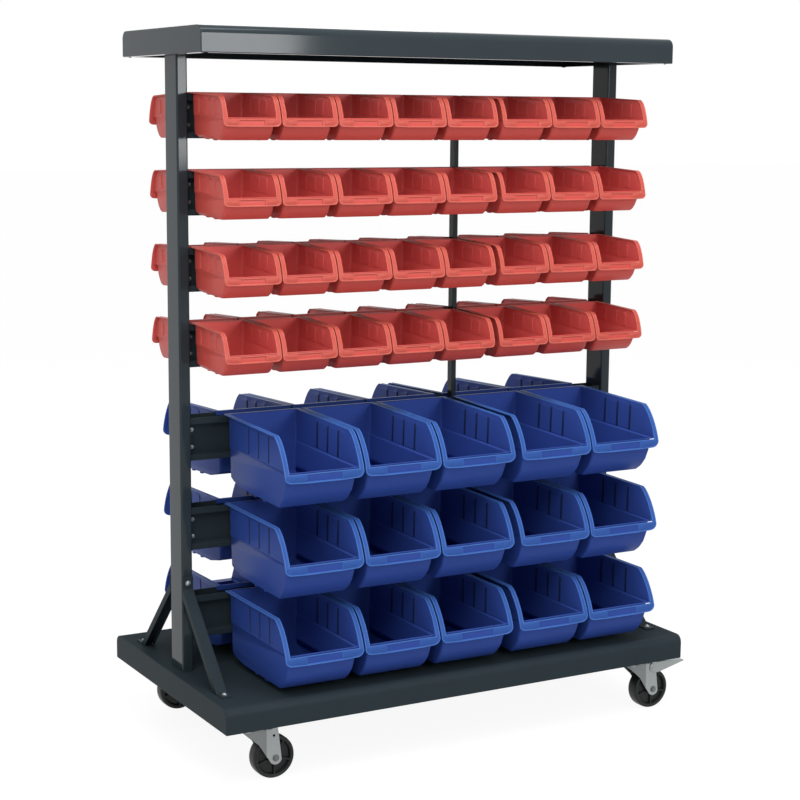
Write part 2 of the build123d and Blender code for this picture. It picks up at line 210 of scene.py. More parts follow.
def disc(bm, centre, axis, radius, height, sides=32, top=None, edge=0):
    """A round or many-sided boss, from the centre of its base along an axis."""
    made = bmesh.ops.create_cone(
        bm, cap_ends=True, segments=sides, radius1=radius,
        radius2=radius if top is None else top, depth=height,
        matrix=aimed(centre, axis) @ Matrix.Translation((0, 0, height / 2)),
    )["verts"]
    if edge:
        rim = once(e for v in made for e in v.link_edges if len(e.link_faces) == 2)
        ends = [e for e in rim if any(len(f.verts) > 4 for f in e.link_faces)]
        round_edges(bm, ends, edge, 2)


def prism(bm, outline, low, high):
    """A solid whose outline of (x, z) points is drawn along Y."""
    face = bm.faces.new([bm.verts.new((x, low, z)) for x, z in outline])
    grown = bmesh.ops.extrude_face_region(bm, geom=[face], use_keep_orig=True)
    bmesh.ops.translate(bm, vec=(0, high - low, 0), verts=verts_of(grown))


def sheet(bm, path, low, high):
    """A sheet that follows a path of (y, z) points and runs along X."""
    verts = [bm.verts.new((low, y, z)) for y, z in path]
    edges = [bm.edges.new(pair) for pair in zip(verts, verts[1:])]
    grown = bmesh.ops.extrude_edge_only(bm, edges=edges)
    bmesh.ops.translate(bm, vec=(high - low, 0, 0), verts=verts_of(grown))


def mesh_of(bm, name):
    """The shape as a mesh. The shape itself is freed."""
    mesh = bpy.data.meshes.new(name)
    bm.to_mesh(mesh)
    bm.free()
    return mesh


def join(bm, own):
    """Adds a shape made on its own to another one."""
    mesh = mesh_of(own, "own")
    bm.from_mesh(mesh)
    bpy.data.meshes.remove(mesh)


def turned(bm, profile, centre, axis, steps=64):
    """Spins a profile of (radius, along) points about an axis, closed unless it starts there."""
    own = bmesh.new()
    verts = [own.verts.new((r, 0, a)) for r, a in profile]
    pairs = list(zip(verts, verts[1:]))
    if profile[0][0] > 0:
        pairs.append((verts[-1], verts[0]))
    edges = [own.edges.new(pair) for pair in pairs]
    bmesh.ops.spin(
        own, geom=verts + edges, cent=(0, 0, 0), axis=(0, 0, 1), dvec=(0, 0, 0),
        angle=math.tau, steps=steps, use_merge=True, use_duplicate=False,
    )
    outwards(own)
    bmesh.ops.transform(own, matrix=aimed(centre, axis), verts=own.verts[:])
    join(bm, own)


def repeated(template, places):
    """A mesh's shape at each of several places."""
    joined = bmesh.new()
    for place in places:
        known = len(joined.verts)
        joined.from_mesh(template)
        joined.verts.ensure_lookup_table()
        bmesh.ops.transform(joined, matrix=place, verts=joined.verts[known:])
    return joined


def from_node(node):
    """A merged copy of a CAD node's mesh, in millimetres, to be softened."""
    bm = bmesh.new()
    bm.from_mesh(frame["nodes"][node].data)
    bmesh.ops.scale(bm, vec=(1 / MM, 1 / MM, 1 / MM), verts=bm.verts[:])
    bmesh.ops.remove_doubles(bm, verts=bm.verts[:], dist=1e-2)
    bmesh.ops.dissolve_limit(
        bm, angle_limit=math.radians(1), verts=bm.verts[:], edges=bm.edges[:],
        use_dissolve_boundaries=False,
    )
    return bm


def piece(
    bm, name, body, finish, replaces=(), wall=0, bevel=0, segments=2, crease=35, extra=(),
    flat=False, inner=0, clamp=True,
):
    """Turns a shape in millimetres into a finished piece that rides on a CAD body.

    A sheet gets a wall, and edges sharper than the crease get a bevel. Faces use the finish or,
    by their material index, the extra ones, and the wall's inner side adds inner to that index.
    """
    bmesh.ops.scale(bm, vec=(MM, MM, MM), verts=bm.verts[:])
    for face in bm.faces:
        face.smooth = True
    if not bevel:
        for edge in bm.edges:
            if len(edge.link_faces) == 2:
                edge.smooth = edge.calc_face_angle() < math.radians(crease)
    mesh = mesh_of(bm, name)
    obj = bpy.data.objects.new(name, mesh)
    bpy.context.scene.collection.objects.link(obj)
    for each in (finish, *extra):
        mesh.materials.append(bpy.data.materials[each])
    if wall:
        thick = obj.modifiers.new("Wall", "SOLIDIFY")
        thick.thickness = wall * MM
        thick.offset = -1
        thick.use_even_offset = True
        thick.material_offset = inner
    if bevel:
        soft = obj.modifiers.new("Edges", "BEVEL")
        soft.width = bevel * MM
        soft.segments = segments
        soft.limit_method = "ANGLE"
        soft.angle_limit = math.radians(crease)
        soft.harden_normals = True
        soft.use_clamp_overlap = clamp
    if flat:
        # large flat faces keep their own normals beside small roundings
        shading = obj.modifiers.new("Flat Faces", "WEIGHTED_NORMAL")
        shading.keep_sharp = True
    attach(obj, body)
    if replaces:
        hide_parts(*replaces)
    return obj


# Finishes


class Surface(NamedTuple):
    """What a finish has besides its colour."""

    # the share by which the colour drifts, and the least and most roughness
    spread: float
    rough: tuple
    # scale of the fine pattern, and the strength and distance of its bump
    grain: float
    bump: tuple
    specular: float = 0.5
    metallic: float = 0


RED_PLASTIC = Surface(0.06, (0.3, 0.42), 300, (0.04, 0.0003), specular=0.18)
BLUE_PLASTIC = Surface(0.06, (0.3, 0.42), 300, (0.04, 0.0003), specular=0.07)

# Each finish: its colour property, the share of that colour's brightness, and its surface
FINISHES = {
    "frame_enamel": ("frame", 1, Surface(0.08, (0.34, 0.46), 420, (0.05, 0.0004), 0.03)),
    "worn_enamel": ("frame", 1, Surface(0.1, (0.5, 0.62), 420, (0.05, 0.0004), 0.008)),
    "gloss_enamel": ("frame", 1, Surface(0.08, (0.07, 0.11), 420, (0.04, 0.0003), 0.18)),
    "red_bin": ("small_bin", 1, RED_PLASTIC),
    "red_rim": ("small_rim_painted_light", 1, RED_PLASTIC),
    "red_bead": ("small_bead_painted_highlight", 1, RED_PLASTIC),
    "red_inside": ("small_inside", 1, RED_PLASTIC),
    "blue_bin": ("large_bin", 1, BLUE_PLASTIC),
    "blue_rim": ("large_rim_painted_light", 1, BLUE_PLASTIC),
    "blue_bead": ("large_bead_painted_highlight", 1, BLUE_PLASTIC),
    "blue_inside": ("large_inside", 1, BLUE_PLASTIC),
    "blue_groove": ("large_groove_painted_shade", 1, Surface(0.06, (0.5, 0.6), 300, (0.04, 0.0003), 0.08)),
    "zinc_plate": ("zinc", 1, Surface(0.15, (0.26, 0.44), 260, (0.06, 0.0003), metallic=0.75)),
    # painted shade: a darker copy of the zinc for the fork's nose, which turns away from the light
    "shade_zinc": ("zinc", 0.62, Surface(0.15, (0.3, 0.46), 260, (0.06, 0.0003), metallic=0.75)),
    "dull_zinc": ("zinc", 0.45, Surface(0.15, (0.36, 0.5), 260, (0.06, 0.0003), metallic=0.75)),
    "black_wheel": ("wheel", 1, Surface(0.2, (0.3, 0.5), 500, (0.1, 0.0003), 0.25)),
}
# CAD nodes that show as they are
SHOWN_NODES = {
    "cross_channels": "frame_enamel",
    "rail_cleats": "frame_enamel",
    "castor_bolts": "zinc_plate",
}


def nodes_of(name):
    """A new material's nodes, links and shader."""
    material = bpy.data.materials.new(name)
    material.use_nodes = True
    tree = material.node_tree
    return tree.nodes, tree.links, tree.nodes["Principled BSDF"]


def noise(nodes, links, scale, roughness=0.5):
    """A noise pattern in object space."""
    place = nodes.new("ShaderNodeTexCoord")
    made = nodes.new("ShaderNodeTexNoise")
    made.inputs["Scale"].default_value = scale
    made.inputs["Detail"].default_value = 3
    made.inputs["Roughness"].default_value = roughness
    links.new(place.outputs["Object"], made.inputs["Vector"])
    return made.outputs["Fac"]


def ranged(nodes, links, value, low, high):
    """The value spread between two limits."""
    made = nodes.new("ShaderNodeMapRange")
    made.inputs["To Min"].default_value = low
    made.inputs["To Max"].default_value = high
    links.new(value, made.inputs["Value"])
    return made.outputs["Result"]


def tinted(nodes, links, value, dark, light):
    """A colour between two tints."""
    made = nodes.new("ShaderNodeMix")
    made.data_type = "RGBA"
    made.inputs["A"].default_value = (*dark, 1)
    made.inputs["B"].default_value = (*light, 1)
    links.new(value, made.inputs["Factor"])
    return made.outputs["Result"]


def bumped(nodes, links, height, strength, distance):
    """A bump from a height pattern."""
    made = nodes.new("ShaderNodeBump")
    made.inputs["Strength"].default_value = strength
    made.inputs["Distance"].default_value = distance
    links.new(height, made.inputs["Height"])
    return made.outputs["Normal"]


def make_finish(name, tint, surface):
    """A finish whose colour drifts a little and whose gloss and bump follow a fine grain."""
    nodes, links, shader = nodes_of(name)
    drift = noise(nodes, links, 9)
    dark = [max(0, c * (1 - surface.spread)) for c in tint]
    light = [min(1, c * (1 + surface.spread)) for c in tint]
    links.new(tinted(nodes, links, drift, dark, light), shader.inputs["Base Color"])
    fine = noise(nodes, links, surface.grain, 0.6)
    links.new(ranged(nodes, links, fine, *surface.rough), shader.inputs["Roughness"])
    links.new(bumped(nodes, links, fine, *surface.bump), shader.inputs["Normal"])
    shader.inputs["Metallic"].default_value = surface.metallic
    shader.inputs["Specular IOR Level"].default_value = surface.specular


class CART_OT_finishes(bpy.types.Operator):
    """Make the enamel, plastics and zinc"""

    bl_idname = "cart.finishes"
    bl_label = "Finishes"

    def execute(self, context):
        for name, (key, share, surface) in FINISHES.items():
            tint = getattr(context.scene.cart_finish, key)
            make_finish(name, [share * c for c in tint], surface)
        for node, finish in SHOWN_NODES.items():
            mesh = frame["nodes"][node].data
            mesh.materials.clear()
            mesh.materials.append(bpy.data.materials[finish])
        return {"FINISHED"}


# Frame

CART_TOP = 1242.5
BASE_BOTTOM = 100
BASE_TOP = 144
SHEET_WALL = 1.5
FOLD_RADIUS = 1.6
HEM_WIDTH = 13
POST_X = 437
POST_WALL = 1.8
# Each post: its middle along X, half its width and depth, its top, and its corners' radius
POSTS = {
    "post_left": (-POST_X, 10, 26, 1241, 3),
    "post_right": (POST_X, 10, 26, 1241, 3),
    "post_centre": (106, 4.5, 8.5, 1124, 1.2),
}
# The bolts that hold a brace: (y, z) on the post's face and on the base
BRACE_ON_POST = (28.5, 302.5)
BRACE_ON_BASE = (180, 146.5)
BRACE_BOLT_RADIUS = 4.8
WASHER_HEIGHT = 1.2


def folded_pan(name, size_x, size_y, bottom, height, roll, finish):
    """Inverted pan: rolled long edges, tight folds and a hem round its open underside."""
    bm = bmesh.new()
    block(bm, (-size_x / 2, -size_y / 2, bottom), (size_x / 2, size_y / 2, bottom + height))
    long_edges = [e for e in bm.edges if along_x(e) and e.verts[0].co.z > bottom + 1]
    round_edges(bm, long_edges, roll, 8)
    ends = [
        e for e in bm.edges
        if not along_x(e) and e.verts[0].co.z + e.verts[1].co.z > 2 * bottom + 1
    ]
    round_edges(bm, ends, FOLD_RADIUS, 2)
    under = [f for f in bm.faces if f.normal.z < -0.9]
    round_edges(bm, once(e for f in under for e in f.edges), FOLD_RADIUS, 2)
    under = [f for f in bm.faces if f.normal.z < -0.999]
    bmesh.ops.inset_region(bm, faces=under, thickness=HEM_WIDTH, use_even_offset=True)
    bmesh.ops.delete(bm, geom=under, context="FACES")
    for face in bm.faces:
        face.material_index = 1 if face.normal.z > 0.99 else 0
    piece(
        bm, name + "_shell", "cart_frame", finish, [name],
        wall=SHEET_WALL, bevel=0.4, extra=["worn_enamel"], flat=True,
    )


class CART_OT_pans(bpy.types.Operator):
    """Make the base pan and the top tray"""

    bl_idname = "cart.pans"
    bl_label = "Base and Tray"

    def execute(self, context):
        sizes = context.scene.cart_sizes
        width, height, roll = sizes.base_length / MM, sizes.pan_height / MM, sizes.pan_roll / MM
        for name, depth, bottom, finish in (
            ("base_pan", sizes.base_depth / MM, BASE_BOTTOM, "frame_enamel"),
            ("top_tray", sizes.tray_depth / MM, CART_TOP - height, "gloss_enamel"),
        ):
            folded_pan(name, width, depth, bottom, height, roll, finish)
        return {"FINISHED"}


class CART_OT_posts(bpy.types.Operator):
    """Make the end posts and the centre post"""

    bl_idname = "cart.posts"
    bl_label = "Posts"

    def execute(self, context):
        for name, (x, half, deep, high, radius) in POSTS.items():
            bm = bmesh.new()
            block(bm, (x - half, -deep, BASE_TOP), (x + half, deep, high))
            round_edges(bm, uprights(bm), radius, 4)
            ends = [f for f in bm.faces if abs(f.normal.z) > 0.9]
            bmesh.ops.delete(bm, geom=ends, context="FACES")
            piece(
                bm, name + "_tube", "cart_frame", "gloss_enamel", [name],
                wall=POST_WALL, bevel=0.3, flat=True,
            )
        return {"FINISHED"}


def dome_bolt(bm, centre, axis, radius):
    """A washer with a domed bolt head on it."""
    axis = Vector(axis)
    disc(bm, centre, axis, radius, WASHER_HEIGHT, 32, edge=0.3)
    rise = radius * 0.55
    arc = [math.radians(d) for d in range(0, 90, 15)]
    dome = [(radius * 0.78 * math.cos(a), rise * math.sin(a)) for a in arc]
    turned(bm, [(0, 0), *dome, (0, rise)], Vector(centre) + axis * WASHER_HEIGHT, axis, 28)


class CART_OT_braces(bpy.types.Operator):
    """Make the folded braces and their bolts"""

    bl_idname = "cart.braces"
    bl_label = "Braces"

    def execute(self, context):
        for face, _ in FACES:
            for side in ("left", "right"):
                node = f"brace_{face}_{side}"
                piece(
                    from_node(node), node + "_strip", "cart_frame", "frame_enamel",
                    [node], bevel=0.7, segments=3, flat=True,
                )
        bm = bmesh.new()
        for x in (-POST_X, POST_X):
            for side in (-1, 1):
                for (y, z), axis in ((BRACE_ON_POST, (0, side, 0)), (BRACE_ON_BASE, (0, 0, 1))):
                    dome_bolt(bm, (x, side * y, z), axis, BRACE_BOLT_RADIUS)
        piece(
            bm, "brace_bolt_domes", "cart_frame", "zinc_plate", ["brace_bolts"], crease=30
        )
        return {"FINISHED"}


# Rails

RAIL_TOPS = {
    "small": [1136 - 128.5 * i for i in range(4)],
    "large": [589 - 156.7 * i for i in range(3)],
}
# A front rail's section as (y, z) points, and half its length
RAIL_SECTION = ((-21, 0), (-21, -12), (-10, -12), (-10, -64), (-21, -64), (-21, -74))
RAIL_END = 426.4
# Screws: along X and out along Y, then down from the rail's top
SCREW_X, SCREW_Y = 419, 10
SCREW_DROPS = (22.4, 52)
SCREW_RADIUS = 3.6


def rail_shape():
    """One front rail with its top at z 0: a sheet folded along its length."""
    bm = bmesh.new()
    sheet(bm, RAIL_SECTION, -RAIL_END, RAIL_END)
    folds = [e for e in bm.edges if along_x(e) and len(e.link_faces) == 2]
    round_edges(bm, folds, 1.8, 3)
    outwards(bm, (0, -1, 0))
    return bm


class CART_OT_rails(bpy.types.Operator):
    """Make the pressed rails and their screws"""

    bl_idname = "cart.rails"
    bl_label = "Rails"

    def execute(self, context):
        rail = mesh_of(rail_shape(), "rail")
        for face, turn in FACES:
            facing = Matrix.Rotation(turn, 4, "Z")
            for size, tops in RAIL_TOPS.items():
                places = [Matrix.Translation((0, 0, top)) @ facing for top in tops]
                node = f"rails_{face}_{size}"
                piece(
                    repeated(rail, places), node + "_strips", "cart_frame", "frame_enamel",
                    [node], wall=SHEET_WALL, bevel=0.3, flat=True,
                )
        bpy.data.meshes.remove(rail)
        for size, finish in (("small", "dull_zinc"), ("large", "zinc_plate")):
            bm = bmesh.new()
            for top in RAIL_TOPS[size]:
                for x in (-SCREW_X, SCREW_X):
                    for side in (-1, 1):
                        for drop in SCREW_DROPS:
                            centre = (x, side * SCREW_Y, top - drop)
                            dome_bolt(bm, centre, (0, side, 0), SCREW_RADIUS)
            piece(bm, f"rail_screws_{size}", "cart_frame", finish, crease=30)
        return {"FINISHED"}


# Castors

# Swivel axes as (x, y). A castor's own shapes have theirs at x 0, y 0
CASTORS = {
    "front_left": (-393, -205),
    "front_right": (393, -205),
    "rear_left": (-393, 205),
    "rear_right": (393, 205),
}
BRAKED = ("front_right", "rear_right")
AXLE = Vector((30, 0, 37.5))
BRAKE_PIN = Vector((27, 0, 79))
PIN_HOLE = Vector((27, 0, 77))
PIN_HOLE_RADIUS = 2.3
# Outer half width of the fork, its arms' foot, and its crown's top
FORK_HALF = 17.2
FORK_FOOT = 20
FORK_TOP = 90
# Where a fork's bright cheeks end and its narrower, shaded nose begins
NOSE_END = 14
PLATE_TOP, PLATE_BOTTOM = 100, 97.5
PLATE_HALF = 33
RACE_PROFILE = (
    (5, 90.3), (20, 90.3), (22, 91), (23.5, 93), (23, 95), (20, PLATE_BOTTOM), (5, PLATE_BOTTOM),
)
KINGPIN_FOOT = 87.2
WHEEL_PROFILE = (
    (4.06, -14.4), (9.5, -14.4), (10.5, -13.4), (11.5, -8), (28.5, -6.5), (30.5, -11.2),
    (33.5, -12), (36.2, -11.2), (37.2, -9), (37.5, -6), (37.5, 6), (37.2, 9), (36.2, 11.2),
    (33.5, 12), (30.5, 11.2), (28.5, 6.5), (11.5, 8), (10.5, 13.4), (9.5, 14.4), (4.06, 14.4),
)
# Side outlines of the brake lever, as (x, z) points
PEDAL_CHEEK = ((21, 85), (27, 90), (52.6, 90), (99, 86), (99, 84), (41.1, 70), (30, 70), (21, 76))
PEDAL_DECK = ((41.1, 90), (52.6, 90), (99, 86), (99, 84), (52.6, 88), (41.1, 88))
PEDAL_HALF = 17.5
CHEEK_WALL = 2


def fork_sheet():
    """The fork before it is trimmed: a U in plan with a half round nose, under a flat crown."""
    bm = bmesh.new()
    nose, arm = -6.8, 52
    tip = bm.verts.new((nose, FORK_HALF, FORK_FOOT))
    bmesh.ops.spin(
        bm, geom=[tip], cent=(nose, 0, FORK_FOOT), axis=(0, 0, 1), dvec=(0, 0, 0),
        angle=math.pi, steps=16, use_merge=False, use_duplicate=False,
    )
    ends = sorted(bm.verts, key=lambda v: -v.co.x)[:2]
    for end in ends:
        grown = bmesh.ops.extrude_vert_indiv(bm, verts=[end])
        bmesh.ops.translate(bm, vec=(arm, 0, 0), verts=grown["verts"])
    grown = bmesh.ops.extrude_edge_only(bm, edges=bm.edges[:])
    top = verts_of(grown)
    bmesh.ops.translate(bm, vec=(0, 0, FORK_TOP - FORK_FOOT), verts=top)
    rim = [e for e in bm.edges if all(v.co.z > FORK_TOP - 1 for v in e.verts)]
    rim.append(bm.edges.new([v for v in top if v.co.x > arm + nose - 5]))
    bmesh.ops.holes_fill(bm, edges=rim, sides=0)
    outwards(bm)
    crown = [f for f in bm.faces if abs(f.normal.z) > 0.9]
    if crown[0].normal.z < 0:
        bmesh.ops.reverse_faces(bm, faces=bm.faces[:])
    fold = [e for e in crown[0].edges if len(e.link_faces) == 2]
    round_edges(bm, fold, 3.2, 4)
    return bm


def press_nose(bm):
    """Steps the fork's sides in at its nose, so that the cheeks stand out."""
    cut(bm, (NOSE_END, 0, 0), (1, 0, 0))
    cut(bm, (NOSE_END + 3, 0, 0), (1, 0, 0))
    for v in bm.verts:
        if v.co.x < NOSE_END + 2 and abs(v.co.y) > 15 and v.co.z < FORK_TOP - 1:
            v.co.y -= math.copysign(1.6, v.co.y)


def trim_fork(bm):
    """Cuts the side outline: a steep back, a round end about the axle, and a nose in two slants."""
    cut(bm, (35.5, 0, 80), (1, 0, 0.12), True)
    for degrees in range(-5, 140, 12):
        a = math.radians(degrees)
        out = Vector((math.cos(a), 0, -math.sin(a)))
        cut(bm, AXLE + out * 11.5, out, True)
    corner = Vector((0, 0, 63.5))
    slants = (Vector((-0.846, 0, -0.533)), Vector((-0.667, 0, -0.745)))
    for out in slants:
        cut(bm, corner, out)
    beyond = [
        f for f in bm.faces
        if all((f.calc_center_median() - corner).dot(out) > 0 for out in slants)
    ]
    bmesh.ops.delete(bm, geom=beyond, context="FACES")


def over_pin_hole(bm):
    """The cheeks' faces that the pin hole's middle lies in."""
    return [
        f for f in bm.faces
        if abs(f.normal.y) > 0.9
        and min(v.co.x for v in f.verts) < PIN_HOLE.x < max(v.co.x for v in f.verts)
        and min(v.co.z for v in f.verts) < PIN_HOLE.z < max(v.co.z for v in f.verts)
    ]


def fork_shape():
    """Pressed fork with raised cheeks, an outline about the axle and a pin hole in each cheek."""
    bm = fork_sheet()
    press_nose(bm)
    trim_fork(bm)
    for step in range(8):
        a = math.tau * step / 8
        out = Vector((math.cos(a), 0, math.sin(a)))
        cut(bm, PIN_HOLE + out * PIN_HOLE_RADIUS, out, faces=over_pin_hole(bm))
    bmesh.ops.delete(bm, geom=over_pin_hole(bm), context="FACES")
    # painted shade: the nose's faces get the darker zinc
    for face in bm.faces:
        face.material_index = 1 if face.calc_center_median().x < NOSE_END else 0
    return bm


def plate_shape():
    """The castors' top plates, each with its race, kingpin and rivet head."""
    bm = bmesh.new()
    for x, y in CASTORS.values():
        low = (x - PLATE_HALF, y - PLATE_HALF, PLATE_BOTTOM)
        block(bm, low, (x + PLATE_HALF, y + PLATE_HALF, PLATE_TOP), 0.8, 2)
        turned(bm, RACE_PROFILE, (x, y, 0), (0, 0, 1), 48)
        disc(bm, (x, y, KINGPIN_FOOT), (0, 0, 1), 5, 3.2)
        disc(bm, (x, y, KINGPIN_FOOT), (0, 0, -1), 9, 2.5, top=6.5)
    outwards(bm)
    return bm


def axle_shape():
    """Axle with a washer and a hexagon head outside each arm of the fork."""
    bm = bmesh.new()
    for side in (-1, 1):
        for out, radius, height, sides, edge in ((0, 6, 1, 32, 0.3), (1, 4.8, 2, 6, 0.5)):
            centre = (AXLE.x, side * (FORK_HALF + out), AXLE.z)
            disc(bm, centre, (0, side, 0), radius, height, sides, edge=edge)
    disc(bm, (AXLE.x, -FORK_HALF, AXLE.z), (0, 1, 0), 4, 2 * FORK_HALF)
    return bm


def wheel_shape():
    """Turned wheel with a rounded tread, dished faces, a hub and ribs across each dish."""
    bm = bmesh.new()
    turned(bm, WHEEL_PROFILE, (0, 0, 0), (0, 1, 0), 72)
    outwards(bm)
    for i in range(5):
        rib = bmesh.new()
        block(rib, (9, -11.2, -1.6), (30.5, 11.2, 1.6), 0.7, 2)
        turn = Matrix.Rotation(math.tau * i / 5 + 0.3, 4, "Y")
        bmesh.ops.transform(rib, matrix=turn, verts=rib.verts[:])
        join(bm, rib)
    return bm


def pedal_shape():
    """Pressed brake lever: two cheeks, a deck that slopes to its tip, a shoe and a cross pin."""
    bm = bmesh.new()
    outer = PEDAL_HALF + CHEEK_WALL
    for low, high in ((-outer, -PEDAL_HALF), (PEDAL_HALF, outer)):
        prism(bm, PEDAL_CHEEK, low, high)
    prism(bm, PEDAL_DECK, -PEDAL_HALF, PEDAL_HALF)
    bmesh.ops.recalc_face_normals(bm, faces=bm.faces[:])
    block(bm, (54, -6, 73), (56, 6, 88.2))
    disc(bm, (BRAKE_PIN.x, -20.3, BRAKE_PIN.z), (0, 1, 0), 3, 40.6, 24)
    return bm


class CART_OT_castors(bpy.types.Operator):
    """Make the castors' plates, forks, axles, wheels and brake pedals"""

    bl_idname = "cart.castors"
    bl_label = "Castors"

    def execute(self, context):
        piece(
            plate_shape(), "castor_top_plates", "cart_frame", "zinc_plate",
            ["castor_plates"], crease=30,
        )
        fork, axle, wheel, pedal = (
            mesh_of(shape(), "castor_part")
            for shape in (fork_shape, axle_shape, wheel_shape, pedal_shape)
        )
        swivels = {name: Matrix.Translation((x, y, 0)) for name, (x, y) in CASTORS.items()}
        for name, place in swivels.items():
            piece(
                repeated(fork, [place]), f"fork_{name}_pressing", f"castor_fork_{name}",
                "zinc_plate", [f"fork_{name}"], wall=2.5, bevel=0.4,
                extra=["shade_zinc"],
            )
            piece(
                repeated(axle, [place]), f"axle_{name}_bolt", f"castor_fork_{name}",
                "dull_zinc", [f"axle_{name}"], crease=30,
            )
            piece(
                repeated(wheel, [place @ Matrix.Translation(AXLE)]), f"wheel_{name}_moulding",
                f"castor_wheel_{name}", "black_wheel", [f"wheel_{name}"],
                crease=30,
            )
        for name in BRAKED:
            piece(
                repeated(pedal, [swivels[name]]), f"brake_pedal_{name}_lever", f"brake_{name}",
                "zinc_plate", [f"brake_pedal_{name}"], bevel=0.5,
            )
        for mesh in (fork, axle, wheel, pedal):
            bpy.data.meshes.remove(mesh)
        return {"FINISHED"}


# Bins


class BinForm(NamedTuple):
    """Sizes of a kind of bin, in millimetres forward from its back and down from its rim."""

    width: float
    depth: float
    # radius of the tub's upright corners
    corner: float
    # each level of the tub is (down, half width, front, back)
    levels: tuple
    # the sides' front edge is a curve down to the lip: an end, two handles and an end, as (y, z)
    curve: tuple
    lip_top: float
    lip_low: float
    lip_corner: float
    # middles of the ribs, and how far down they go
    ribs: tuple
    rib_width: float
    rib_low: float
    # middles of the nubs under the floor, and how far they stand out
    nubs: tuple
    nub_drop: float
    # how far the lip's lower edge rises from its middle to its ends
    bow: float
    # whether the ribs' pressed faces get painted shade, a darker finish of their own
    groove: bool


SMALL = BinForm(
    width=102.5, depth=141, corner=6,
    levels=(
        (0.8, 46.5, 139.4, 0), (36.5, 46, 139.4, 1.6), (39, 44.8, 129.5, 1.7),
        (52, 44.6, 128, 2.2), (62, 44.3, 123, 2.6), (69, 44, 117, 6), (73, 42.5, 112, 18),
    ),
    curve=((-117, 0), (-129, -3), (-137, -25), (-141, -42)),
    lip_top=37, lip_low=50, lip_corner=7,
    ribs=(32, 66, 95), rib_width=10, rib_low=33, nubs=(48, 80), nub_drop=1.8, bow=1,
    groove=False,
)
LARGE = BinForm(
    width=146, depth=241, corner=5,
    levels=(
        (0.8, 66, 239.4, 0), (56.5, 65.4, 239.4, 2), (59, 63.8, 229.5, 2.1),
        (80, 63.5, 227.5, 2.8), (98, 63.2, 220, 3.4), (110, 62.9, 210.5, 3.8),
        (115, 62.7, 205, 14), (122, 61.2, 196, 50),
    ),
    curve=((-198, 0), (-214, -6), (-236, -40), (-241, -62)),
    lip_top=57.5, lip_low=74.5, lip_corner=11.5,
    ribs=(85, 124, 163), rib_width=5, rib_low=54, nubs=(98, 135), nub_drop=3.2, bow=2.3,
    groove=True,
)
FLANGE = 7
BIN_WALL = 1.7
BEAD = 1.5
# Points nearer than this are merged where cuts meet
SLIVER = 0.5
RIB_TOP = 8
# The lip's recess and its raised ends, as shares of the bin's width, with a space between them
RECESS_HALF = 0.22
RAISED_HALF = 0.42
LIP_SPACE = 3
# A hung bin hooks on its rail's upper lip, this far out and above the rail's top
HOOK_OUT = 21.3
HOOK_RISE = 2.3
# Hanging angles in degrees: of every small bin, and of each row of large ones
SMALL_HANG = 2.5
LARGE_HANGS = (2, 1.2, 0.4)
# Material indices of a bin's outer faces, in the order of its finishes. On the inner side of
# its wall, the index of the first inside finish is added to them
BODY, RIM_PAINTED_LIGHT, BEAD_PAINTED_HIGHLIGHT, GROOVE_PAINTED_SHADE = 0, 1, 2, 3
# painted light: the inside finish is brighter than the outer plastic
BIN_FINISHES = {
    "red": ("red_bin", "red_rim", "red_bead", "red_inside"),
    "blue": (
        "blue_bin", "blue_rim", "blue_bead", "blue_groove",
        "blue_inside", "blue_inside", "blue_inside", "blue_groove",
    ),
}


def spots(count, before_post, pitch, space, left, width):
    """Bin centres along a row, with the wider space at the centre post."""
    return [
        width / 2 - left + i * pitch + (space if i >= before_post else 0) for i in range(count)
    ]


SMALL_SPOTS = spots(8, 5, 104.5, 8, 422, SMALL.width)
LARGE_SPOTS = spots(5, 3, 149, 11, 363, LARGE.width)


def curve_points(form, steps=9):
    """The front edge of a bin's side, from the level rim to the lip, as (y, z) points."""
    knots = [Vector((y, z, 0)) for y, z in form.curve]
    return [(p.x, p.y) for p in interpolate_bezier(*knots, steps)]


def bin_tub(bm, form):
    """The tub: a rounded plan drawn down level by level to a narrower foot, cut to the curve."""
    down, half, front, back = form.levels[0]
    plan = bmesh.ops.create_grid(bm, x_segments=1, y_segments=1, size=0.5)["verts"]
    bmesh.ops.scale(bm, vec=(2 * half, front, 1), verts=plan)
    bmesh.ops.translate(bm, vec=(0, -front / 2, -down), verts=plan)
    round_corners(bm, bm.verts[:], form.corner, 4)
    floor = bm.faces[:]
    for level in form.levels[1:]:
        grown = bmesh.ops.extrude_face_region(bm, geom=floor)
        ring = verts_of(grown)
        bmesh.ops.delete(bm, geom=floor, context="FACES_ONLY")
        floor = [f for f in grown["geom"] if isinstance(f, bmesh.types.BMFace)]
        stretch = (level[2] - level[3]) / (front - back)
        about = Matrix.Translation((0, back, 0))
        bmesh.ops.scale(bm, vec=(level[1] / half, stretch, 1), verts=ring, space=about)
        bmesh.ops.translate(bm, vec=(0, back - level[3], down - level[0]), verts=ring)
        down, half, front, back = level
    outwards(bm)
    press_ribs(bm, form)
    points = curve_points(form)
    for a, b in zip(points, points[1:]):
        along = Vector((0, b[0] - a[0], b[1] - a[1]))
        normal = Vector((0, along.z, -along.y)).normalized()
        cut(bm, Vector((0, a[0], a[1])) - normal, normal, True)
    merge_near(bm, SLIVER)


